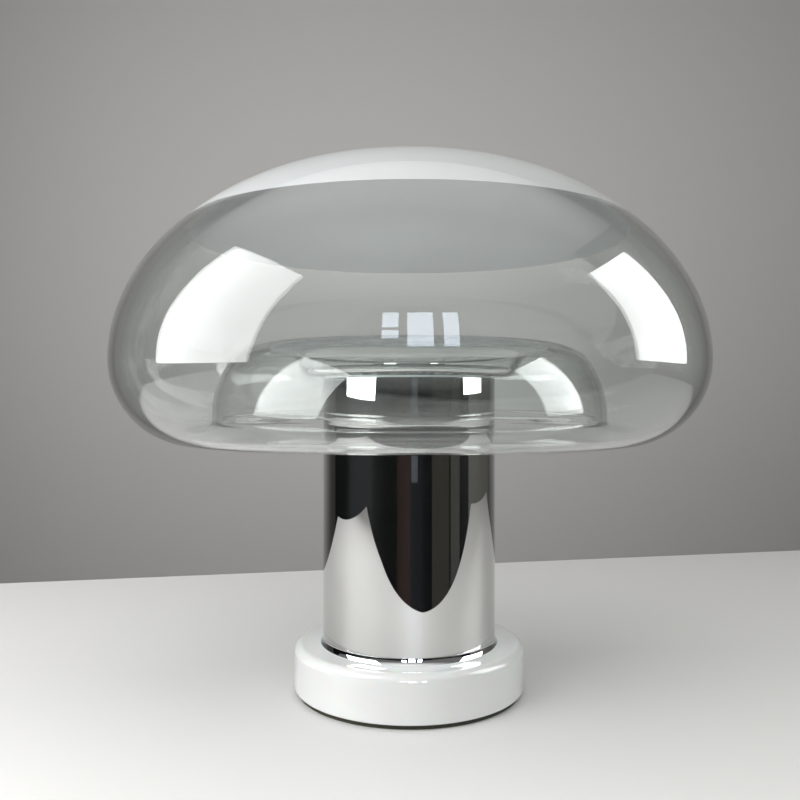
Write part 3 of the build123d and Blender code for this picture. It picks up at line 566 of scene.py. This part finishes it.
class Palette:
    """All finishes of the lamp, by the record's material slot."""

    def __init__(self) -> None:
        """Makes each material once."""
        finishes = {
            "clear_glass": ClearGlass(),
            "opal_crown": OpalLayer(),
            "opal_base": OpalGlass(),
            "polished_steel": Metal("polished_steel", (0.60, 0.60, 0.59), (0.56, 0.56, 0.55),
                                    (0.01, 0.025), smear=0.008),
            "chrome_trim": Metal("chrome_trim", (0.66, 0.67, 0.68), (0.62, 0.63, 0.64),
                                 (0.015, 0.03)),
            "zinc_steel": Metal("zinc_steel", (0.58, 0.59, 0.60), (0.46, 0.47, 0.48),
                                (0.25, 0.4), 0.00003),
            "brass": Metal("brass", (0.78, 0.58, 0.25), (0.66, 0.47, 0.19), (0.2, 0.35), 0.00002),
            "reflector_glass": Metal("reflector_glass", (0.78, 0.79, 0.80), (0.70, 0.71, 0.73),
                                     (0.08, 0.15)),
            "lamp_glass": FrostedGlass(),
            "felt": Dull("felt", (0.055, 0.052, 0.030), (0.020, 0.019, 0.011), 0.95, 1500, 0.0004),
            "cast_iron": Dull("cast_iron", (0.075, 0.075, 0.078), (0.03, 0.03, 0.032), 0.6,
                              420, 0.0006),
            "black_rubber": Dull("black_rubber", (0.035, 0.035, 0.036), (0.022, 0.022, 0.023),
                                 0.55, 700),
            "silicone": Dull("silicone", (0.62, 0.64, 0.64), (0.56, 0.58, 0.58), 0.35,
                             300, 0.00005),
            "ceramic": Dull("ceramic", (0.74, 0.70, 0.62), (0.66, 0.62, 0.54), 0.5, 800, 0.00008),
            "lead_silicone": Dull("lead_silicone", (0.66, 0.64, 0.58), (0.58, 0.56, 0.50), 0.45,
                                  600, 0.00005),
        }
        self.made = {slot: finish.material() for slot, finish in finishes.items()}
        self.covered_opal = OpalLayer("opal_crown_covered", gloss=0.0).material()

    def dress(self, piece: bpy.types.Object, slot: str) -> None:
        """Gives a piece one finish in all its slots.

        Args:
            piece: The object to dress.
            slot: The record's material slot.
        """
        if not piece.material_slots:
            piece.data.materials.append(self.made[slot])
        for place in piece.material_slots:
            place.material = self.made[slot]


# ---- the lamp's sub-assemblies ------------------------------------------------------------


@dataclass(frozen=True)
class SubAssembly:
    """What all sub-assemblies share: the palette, and how a new piece is entered."""

    palette: Palette

    def enter(self, piece: bpy.types.Object, body: Body, slot: str, *nodes: str) -> bpy.types.Object:
        """Dresses a piece, lets it ride and puts it in the place of its solids.

        Args:
            piece: The new piece.
            body: Body that it moves with.
            slot: The record's material slot.
            nodes: Solids that it stands for.

        Returns:
            The piece.
        """
        self.palette.dress(piece, slot)
        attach(piece, body.value)
        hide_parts(*nodes)
        return piece


@dataclass(frozen=True)
class Shade(SubAssembly):
    """Blown glass shade: dome, lowest ring, bell and dish in one wall, with an opal layer inside.

    Sizes are millimetres; arcs are radius and end heading, from the crown outwards and down.
    """

    top_z: float = 385.3
    wall: float = 4.0
    dome: tuple[tuple[float, float], ...] = ((308, 18), (197, 45), (131, 70), (105, 90),
                                             (58, 130), (60, 160))
    fold: tuple[tuple[float, float], ...] = ((30.5, 228), (2.5, 270))
    valley: tuple[tuple[float, float], ...] = ((26.5, 221), (4.0, 270))
    bell_heading: float = 237
    crest_radius: float = 102.9
    crest_z: float = 251.7
    dish_drop: float = 20.4
    crest: tuple[tuple[float, float], ...] = ((25, 210), (37.5, 180))
    dish: tuple[tuple[float, float], ...] = ((40, 150), (9, 110))
    corner: float = 7.0
    hole_radius: float = 26.9
    opal_thickness: float = 1.3
    opal_radius: float = 158.5
    opal_overlap: float = 0.12
    opal_taper: float = 5.0
    opal_lip: float = 0.2
    wall_nodes: tuple[str, ...] = ("shade_top", "shade_shoulder", "shade_side", "shade_fold",
                                   "shade_bell", "shade_dish", "shade_floor")

    def into_dish(self, line: Outline, depth: float) -> Outline:
        """Takes a line from the bell over the crest and down to the hole.

        Args:
            line: The line at the top of the bell.
            depth: How far it lies under the wall's upper side.

        Returns:
            The same line, ended at the hole.
        """
        rim = arcs_shift([*self.dish, (self.corner, 180)], 180)
        wall_run = (-self.dish_drop - rim[1]) / heading_vector(self.dish[-1][1])[1]
        line.bend(*thicker([*self.crest, *self.dish], -depth)).run(wall_run)
        line.bend((self.corner + depth, 180))
        return line.line_to(self.hole_radius, self.crest_z - self.dish_drop - depth)

    def up_the_bell(self, line: Outline, depth: float) -> Outline:
        """Takes a line that looks straight up from the bell's foot to the dish's hole.

        The upright stretch and the bell's radius are what brings the line to the crest.

        Args:
            line: The line at the bell's foot.
            depth: How far it lies under the wall's upper side.

        Returns:
            The same line, ended at the hole.
        """
        goal = np.array([self.crest_radius, self.crest_z - depth])
        left = goal - line.tip - arcs_shift(thicker(list(self.crest), -depth), self.bell_heading)
        unit_arc = arc_shift(1.0, line.heading, self.bell_heading)
        upright, radius = two_lengths(heading_vector(line.heading), unit_arc, left)
        return self.into_dish(line.run(upright).bend((radius, self.bell_heading)), depth)

    def outside(self) -> Outline:
        """Outer face from the crown round the lowest ring and up the bell's underside."""
        return self.up_the_bell(Outline(0, self.top_z).bend(*self.dome, *self.fold), self.wall)

    def inside(self) -> Outline:
        """Inner face from the crown down into the valley and up the bell's upper side."""
        dome = thicker(list(self.dome), -self.wall)
        return self.up_the_bell(Outline(0, self.top_z - self.wall).bend(*dome, *self.valley), 0.0)

    def glass(self) -> bpy.types.Object:
        """The whole clear wall as one turned surface."""
        outline = np.vstack([self.outside().points, self.inside().points[::-1]])
        return turned("shade_blown_glass", outline)

    def opal_arcs(self, shift: float) -> list[tuple[float, float]]:
        """Arcs of the dome's inside, shifted inwards, up to the opal layer's edge.

        Args:
            shift: How far inside the clear wall's inner face they lie.

        Returns:
            Radius and end heading of each arc.
        """
        kept: list[tuple[float, float]] = []
        r = heading = 0.0
        for radius, end in thicker(list(self.dome), -self.wall - shift):
            reach = r + arc_shift(radius, heading, end)[0]
            if reach >= self.opal_radius:
                limit = degrees(asin(sin(radians(heading)) + (self.opal_radius - r) / radius))
                return [*kept, (radius, limit)]
            kept.append((radius, end))
            r, heading = reach, end
        return kept

    def opal_side(self, shift: float) -> np.ndarray:
        """One side of the opal layer, from the axis to its edge.

        Args:
            shift: How far inside the clear wall's inner face it lies.

        Returns:
            Rows of radius and height.
        """
        return Outline(0, self.top_z - self.wall - shift).bend(*self.opal_arcs(shift)).points

    def opal(self) -> bpy.types.Object:
        """Opal layer as a turned surface that thins out towards its edge.

        Its upper side lies a little inside the clear wall, as the layers are fused. Its lower
        side rises over the taper, by the square root of the way still to go, and ends the lip's
        height under the upper side.
        """
        up, low = self.opal_side(-self.opal_overlap), self.opal_side(self.opal_thickness)
        share = np.sqrt(np.clip((self.opal_radius - low[:, 0]) / self.opal_taper, 0.0, 1.0))
        meeting = np.interp(low[:, 0], up[:, 0], up[:, 1]) - self.opal_lip
        low = np.column_stack([low[:, 0], meeting + (low[:, 1] - meeting) * share])
        return turned("shade_opal_layer", np.vstack([up, low[::-1]]))

    def build(self) -> list[bpy.types.Object]:
        """Makes the clear wall and the opal layer, whose upward faces the clear wall covers.

        Returns:
            Both pieces.
        """
        clear = self.enter(self.glass(), Body.SHADE, "clear_glass", *self.wall_nodes)
        opal = self.enter(self.opal(), Body.SHADE, "opal_crown", "shade_crown")
        opal.data.materials.append(self.palette.covered_opal)
        facing_up = np.empty(len(opal.data.polygons) * 3)
        opal.data.polygons.foreach_get("normal", facing_up)
        covered = facing_up.reshape(-1, 3)[:, 2] > 0
        opal.data.polygons.foreach_set("material_index", covered.astype(np.int32))
        return [clear, opal]


@dataclass(frozen=True)
class Column(SubAssembly):
    """Polished steel column with its cap, collar and flared foot ring, in millimetres.

    The skirt is thickness and height; the flange is how far it stands out and its height.
    """

    radius: float = 63.1
    wall: float = 1.5
    foot_z: float = 35.7
    tube_z: float = 40.1
    cap_z: float = 224.3
    top_z: float = 226.3
    fit: float = 0.05
    flare: float = 1.7
    cove: float = 1.6
    ring_width: float = 13.0
    spigot: float = 5.0
    skirt: tuple[float, float] = (1.5, 10.0)
    collar_radius: float = 26.6
    collar_bore: float = 25.4
    collar_top: float = 236.8
    collar_length: float = 22.0
    flange: tuple[float, float] = (2.6, 0.7)

    def tube(self) -> bpy.types.Object:
        """Steel tube between the ring and the cap."""
        inner = self.radius - self.wall
        corners = [(inner, self.tube_z, 0), (self.radius, self.tube_z, 0.2),
                   (self.radius, self.cap_z, 0.05), (inner, self.cap_z, 0)]
        return turned("column_shell", rounded(corners))

    def cap(self) -> bpy.types.Object:
        """Lid with a softly rounded rim and its skirt inside the tube."""
        thickness, height = self.skirt
        outer = self.radius - self.wall - self.fit
        hole = self.collar_radius - 0.35
        corners = [(hole, self.cap_z, 0), (outer - thickness, self.cap_z, 0),
                   (outer - thickness, self.cap_z - height, 0), (outer, self.cap_z - height, 0),
                   (outer, self.cap_z, 0), (self.radius, self.cap_z, 0.05),
                   (self.radius, self.top_z, 0.5), (hole, self.top_z, 0)]
        return turned("column_lid", rounded(corners))

    def ring(self) -> bpy.types.Object:
        """Chrome ring that widens towards the base in a shallow cove.

        At share u of its height it stands out by the flare times 1 - u to the power of the cove.
        """
        inner, outer = self.radius - self.ring_width, self.radius - self.wall - self.fit
        height = self.tube_z - self.foot_z
        face = [(self.radius + self.flare * (1 - u) ** self.cove, self.foot_z + u * height, 0)
                for u in np.linspace(0.0, 1.0, 12)[:-1]]
        corners = [(inner, self.foot_z, 0), *face, (self.radius, self.tube_z, 0.1),
                   (outer, self.tube_z, 0), (outer, self.tube_z + self.spigot, 0),
                   (inner, self.tube_z + self.spigot, 0)]
        return turned("foot_ring_turned", rounded(corners))

    def collar(self) -> bpy.types.Object:
        """Chrome collar with a flange under the dish."""
        shank, bottom = self.collar_radius - 0.4, self.collar_top - self.collar_length
        edge, seat = shank + self.flange[0], self.top_z + self.flange[1]
        corners = [(self.collar_bore, bottom, 0), (shank, bottom, 0), (shank, self.top_z, 0),
                   (edge, self.top_z, 0), (edge, seat, 0.2), (self.collar_radius, seat, 0),
                   (self.collar_radius, self.collar_top, 0.4), (self.collar_bore, self.collar_top, 0.4)]
        return turned("collar_turned", rounded(corners))

    def build(self) -> list[bpy.types.Object]:
        """Makes the turned pieces of the column.

        Returns:
            Tube, cap, ring and collar.
        """
        return [
            self.enter(self.tube(), Body.STAND, "polished_steel", "column_tube"),
            self.enter(self.cap(), Body.STAND, "polished_steel", "column_cap"),
            self.enter(self.ring(), Body.STAND, "chrome_trim", "foot_ring"),
            self.enter(self.collar(), Body.STAND, "chrome_trim", "lamp_collar"),
        ]


@dataclass(frozen=True)
class Base(SubAssembly):
    """Opal glass base on its felt, in millimetres."""

    radius: float = 83.7
    foot_z: float = 3.1
    top_z: float = 35.7
    wall: float = 5.0
    top_edge: float = 6.0
    foot_edge: float = 1.6
    hole_radius: float = 22.0
    felt_radius: float = 81.0
    felt_hole: float = 13.0
    outlet_z: float = 15.0
    outlet_radius: float = 5.45
    outlet_facets: int = 48

    def glass(self) -> bpy.types.Object:
        """Glass cup, open below, with the cable's hole cut through its back."""
        inner, ceiling = self.radius - self.wall, self.top_z - self.wall
        corners = [(inner, self.foot_z, 0), (self.radius, self.foot_z, self.foot_edge),
                   (self.radius, self.top_z, self.top_edge), (self.hole_radius, self.top_z, 0),
                   (self.hole_radius, ceiling, 0), (inner, ceiling, 4.0)]
        cup = turned("base_cup", rounded(corners))
        bar = self.bar()
        cut = cup.modifiers.new("cable_hole", "BOOLEAN")
        cut.operation, cut.object = "DIFFERENCE", bar
        made = bpy.data.meshes.new_from_object(cup.evaluated_get(bpy.context.evaluated_depsgraph_get()))
        cup.modifiers.clear()
        cup.data = made
        bpy.data.objects.remove(bar)
        return cup

    def bar(self) -> bpy.types.Object:
        """Round bar along Y that cuts the cable's hole.

        Its rim point at turn t lies at (r cos t, y, z + r sin t), for the two ends of the bar.
        """
        count = self.outlet_facets
        turns = np.linspace(0, 2 * np.pi, count, endpoint=False)
        across = self.outlet_radius * np.cos(turns)
        up = self.outlet_z + self.outlet_radius * np.sin(turns)
        near, far = (np.column_stack([across, np.full(count, y), up])
                     for y in (self.radius - 14, self.radius + 6))
        here = np.arange(count)
        beside = np.roll(here, -1)
        sides = np.column_stack([beside, here, here + count, beside + count]).tolist()
        faces = [*sides, here.tolist(), (here[::-1] + count).tolist()]
        return mesh_object("cable_hole_bar", np.vstack([near, far]) * MM, faces, smooth=False)

    def felt(self) -> bpy.types.Object:
        """Felt pad under the glass, with softly pressed edges."""
        corners = [(self.felt_hole, 0, 0), (self.felt_radius, 0, 0.5),
                   (self.felt_radius, self.foot_z, 0.3), (self.felt_hole, self.foot_z, 0)]
        return turned("felt_pad", rounded(corners))

    def build(self) -> list[bpy.types.Object]:
        """Makes the base glass and the felt.

        Returns:
            Both pieces.
        """
        return [self.enter(self.glass(), Body.STAND, "opal_base", "base_glass"),
                self.enter(self.felt(), Body.STAND, "felt", "base_felt")]


@dataclass(frozen=True)
class InnerParts:
    """Solids that keep their own mesh: works inside the column and the base."""

    palette: Palette

    def dress(self) -> int:
        """Gives every solid the finish of its slot.

        Returns:
            How many solids were dressed.
        """
        rows = frame["record"]["subparts"]
        for row in rows:
            self.palette.dress(frame["nodes"][row["node"]], row["material_slot"])
        return len(rows)


# ---- studio -------------------------------------------------------------------------------


@dataclass(frozen=True)
class Panel:
    """A flat stage surface that gives or takes light, with corners in millimetres.

    A glow is one-sided: it shines along the normal of its corners' turning sense. The panel may
    be seen by the camera, light the dull surfaces, be mirrored, and be met through the glass.
    With a light pool centre its colour fades away from there, down to the dark share at the reach: on a
    panel that takes light, such as the table or the wall, this is a painted pool of light with painted
    shade round it; on a glowing panel it shapes the glow.
    """

    name: str
    corners: tuple[Point, ...]
    colour: Colour
    glow: float = 0.0
    seen: bool = True
    lights: bool = True
    mirrored: bool = True
    through_glass: bool = True
    roughness: float = 0.8
    # centre of a painted pool of light on a panel that takes light, or of the glow's fall on a glowing
    # panel
    light_pool_centre: Point | None = None
    reach: float = 2100
    dark_share: float = 0.3

    def material(self) -> bpy.types.Material:
        """A plain stage finish, with a light on the front face where it glows."""
        recipe = Recipe(self.name)
        # a painted pool of light with painted shade round it, or the fall of a glow, spreading from the
        # pool's centre
        if self.light_pool_centre:
            colour = self.light_pool_colour(recipe)
        else:
            tone = tuple(0.97 * part for part in self.colour)
            colour = recipe.blend(recipe.noise(0.7, 2), tone, self.colour)
        if not self.glow:
            shader = recipe.surface({"Base Color": colour}, Roughness=self.roughness)
            return recipe.finish(shader.outputs[0])
        lit = recipe.node("ShaderNodeEmission")
        lit.inputs["Strength"].default_value = self.glow
        recipe.join(colour, lit.inputs["Color"])
        dark = recipe.node("ShaderNodeBsdfTransparent")
        mix = recipe.node("ShaderNodeMixShader")
        recipe.join(recipe.node("ShaderNodeNewGeometry").outputs["Backfacing"], mix.inputs["Fac"])
        recipe.join(lit.outputs[0], mix.inputs[1])
        recipe.join(dark.outputs[0], mix.inputs[2])
        return recipe.finish(mix.outputs[0])

    def light_pool_colour(self, recipe: Recipe) -> bpy.types.NodeSocket:
        """Colour that falls evenly from full at the pool's centre to its dark share at the reach: a
        painted pool of light with painted shade round it on a panel that takes light, the glow's own
        fall on a glowing panel.

        Args:
            recipe: The panel's material in the making.

        Returns:
            The colour.
        """
        mapping = recipe.node("ShaderNodeMapping")
        middle = tuple(-part / self.reach for part in self.light_pool_centre)
        mapping.inputs["Scale"].default_value = (1 / (self.reach * MM),) * 3
        mapping.inputs["Location"].default_value = middle
        recipe.join(recipe.node("ShaderNodeTexCoord").outputs["Object"], mapping.inputs["Vector"])
        ball = recipe.node("ShaderNodeTexGradient", gradient_type="SPHERICAL")
        recipe.join(mapping.outputs["Vector"], ball.inputs["Vector"])
        dark = tuple(self.dark_share * part for part in self.colour)
        return recipe.blend(ball.outputs["Fac"], dark, self.colour, (0.0, 1.0))

    def build(self) -> bpy.types.Object:
        """Makes the panel.

        Returns:
            The stage object.
        """
        points = np.array(self.corners) * MM
        piece = mesh_object(self.name, points, [list(range(len(points)))], smooth=False)
        piece.data.materials.append(self.material())
        piece.visible_camera = self.seen
        piece.visible_diffuse = self.lights
        piece.visible_glossy = self.mirrored
        piece.visible_transmission = self.mirrored and self.through_glass
        return piece


def far_panel(name: str, turns: tuple[float, float], rises: tuple[float, float], glow: float,
              colour: Colour = (0.80, 0.88, 1.0), through_glass: bool = True) -> Panel:
    """Upright pane in the room, placed by where the lamp's middle sees it.

    Its corner at azimuth a and elevation e lies at distance d from the eye point: d sin a
    across, -d cos a in depth and d tan e up.

    Args:
        name: Name of the pane.
        turns: Azimuths of its edges, in degrees from -Y towards +X.
        rises: Elevations of its lower and upper edge.
        glow: Strength of its light.
        colour: Colour of its light.
        through_glass: Whether light that has passed the glass still meets it.

    Returns:
        The panel.
    """
    away, eye = 2500.0, (5.0, -210.0, 247.0)
    (near, far), (low, high) = turns, rises
    corners = []
    for turn, rise in ((far, low), (near, low), (near, high), (far, high)):
        across, deep = away * sin(radians(turn)), away * cos(radians(turn))
        corners.append((eye[0] + across, eye[1] - deep, eye[2] + away * tan(radians(rise))))
    return Panel(name, tuple(corners), colour, glow, seen=False, lights=False,
                 through_glass=through_glass)


def farther(quad: tuple[Point, ...]) -> tuple[Point, ...]:
    """A softbox's corners moved 2.2 times as far out, and lowered by 180 mm."""
    return tuple((2.2 * x, 2.2 * y, 2.2 * z - 180) for x, y, z in quad)


@dataclass(frozen=True)
class Studio:
    """Pale table before a grey wall, two softboxes, a dim room behind the camera, and the camera.

    Heights and depths are in millimetres. The steel and the glass mirror the two softboxes, and
    the fills farther out on both sides light the table, the wall and the opal glass in their place.
    """

    floor_z: float = -900
    ceiling_z: float = 2600
    wall_top_z: float = 3200
    wall_y: float = 1700
    white: Colour = (1.0, 1.0, 1.0)

    def panels(self) -> list[Panel]:
        """All flat pieces of the stage."""
        return [*self.ground_and_walls(), *self.lights(), *self.room()]

    def ground_and_walls(self) -> list[Panel]:
        """The table, and the floor and walls round it."""
        low, high, top, back = self.floor_z, self.ceiling_z, self.wall_top_z, self.wall_y
        table = ((-950, -650, 0), (-344, -496, 0), (-10, -369, 0), (90, -327, 0), (251, -294, 0),
                 (467, -249, 0), (1180, -90, 0), (1180, 686, 0), (-950, 246, 0))
        floor = ((-4000, -4000, low), (4000, -4000, low), (4000, back, low), (-4000, back, low))
        wall = ((-4000, back, low), (4000, back, low), (4000, back, top), (-4000, back, top))
        side = ((2200, -300, low), (2200, back, low), (2200, back, high), (2200, -300, high))
        return [
            # the table's colour holds a painted pool of light near the lamp, fading to painted shade
            # towards its edges
            Panel("table_top", table, (0.80, 0.795, 0.785), roughness=0.65,
                  light_pool_centre=(50, -250, 0), reach=1600),
            Panel("room_floor", floor, (0.42, 0.415, 0.405), mirrored=False),
            # the wall's colour holds a painted pool of light in its middle, fading to painted shade
            # towards its corners
            Panel("back_wall", wall, (0.475, 0.47, 0.46), light_pool_centre=(0, back, 300), reach=2400),
            Panel("side_wall", side, (0.24, 0.24, 0.22), seen=False),
        ]

    def lights(self) -> list[Panel]:
        """The softboxes, the fills that light in their place, and the bright ceiling."""
        left = ((-632, -60, 195), (-575, -97, 820), (-210, -335, 476), (-265, -300, 195))
        right = ((566, -200, 200), (526, -242, 632), (960, 219, 1000), (1006, 268, 195))
        high, back = self.ceiling_z, self.wall_y
        ceiling = ((-9000, -9000, high), (-9000, back, high), (9000, back, high), (9000, -9000, high))
        return [
            Panel("softbox_left", left, self.white, 8.6, seen=False, lights=False),
            Panel("softbox_right", right, self.white, 7.6, seen=False, lights=False),
            Panel("fill_left", farther(left), self.white, 8.4, seen=False, mirrored=False),
            Panel("fill_right", farther(right), self.white, 2.0, seen=False, mirrored=False),
            Panel("soft_ceiling", ceiling, (1.0, 0.99, 0.97), 2.2, seen=False,
                  light_pool_centre=(-300, -1300, high), reach=3600, dark_share=0.09),
        ]

    def room(self) -> list[Panel]:
        """Windows behind the camera, and glowing panes, no lamps, that stand in for the dim things of
        the room that the steel mirrors: painted light that shows only in reflections.
        """
        return [
            *(far_panel(name, turns, rises, 18.0, through_glass=False) for name, turns, rises in (
                ("window_left_low", (-10.3, -4.4), (7.6, 12.7)),
                ("window_left_high", (-10.3, -4.4), (14.4, 23.5)),
                ("window_middle", (-1.4, 7.8), (2.3, 23.5)),
                ("window_right", (11.4, 16.9), (2.3, 23.5)),
            )),
            # painted light: faint glowing panes in place of the room's dimly lit things, seen only in
            # reflections
            far_panel("room_copper", (-17.0, 1.0), (-30.0, 2.0), 0.03, (1.0, 0.60, 0.48)),
            far_panel("room_pale", (2.5, 11.0), (-8.0, 2.0), 0.11, (0.85, 0.92, 1.0)),
            far_panel("room_olive", (31.0, 56.0), (-30.0, 8.0), 0.045, (1.0, 0.97, 0.80)),
            far_panel("room_grey", (58.0, 72.0), (-30.0, 8.0), 0.07, (1.0, 1.0, 0.92)),
            far_panel("room_blue", (-88.0, -52.0), (-30.0, 8.0), 0.022, (0.75, 0.88, 1.0)),
        ]

    def world(self) -> None:
        """Dim, even room light."""
        world = bpy.data.worlds.new("dim_room")
        world.use_nodes = True
        back = world.node_tree.nodes["Background"]
        back.inputs["Color"].default_value = (0.5, 0.52, 0.56, 1)
        back.inputs["Strength"].default_value = 0.012
        bpy.context.scene.world = world

    def camera(self) -> None:
        """Level camera where the photograph was taken, looking along +Y."""
        lens = bpy.data.cameras.new("photo_camera")
        lens.lens, lens.sensor_width = 37.5, 36.0
        camera = bpy.data.objects.new("photo_camera", lens)
        camera.location = (-0.0066, -0.6156, 0.2117)
        camera.rotation_euler = (radians(90), 0, 0)
        bpy.context.scene.collection.objects.link(camera)
        bpy.context.scene.camera = camera

    def build(self) -> list[bpy.types.Object]:
        """Sets the stage.

        Returns:
            The stage objects.
        """
        self.world()
        self.camera()
        bpy.context.scene.view_settings.view_transform = "Standard"
        return [panel.build() for panel in self.panels()]


# ---- the whole ----------------------------------------------------------------------------


def main() -> None:
    logging.basicConfig(level=logging.INFO, format="%(message)s")
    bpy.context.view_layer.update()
    palette = Palette()
    LOG.info("solids dressed: %d", InnerParts(palette).dress())
    for assembly in (Shade(palette), Column(palette), Base(palette)):
        for piece in assembly.build():
            LOG.info("%s: %s, %d faces", type(assembly).__name__, piece.name, len(piece.data.polygons))
    for piece in Studio().build():
        LOG.info("stage: %s", piece.name)


if __name__ == "__main__":
    main()
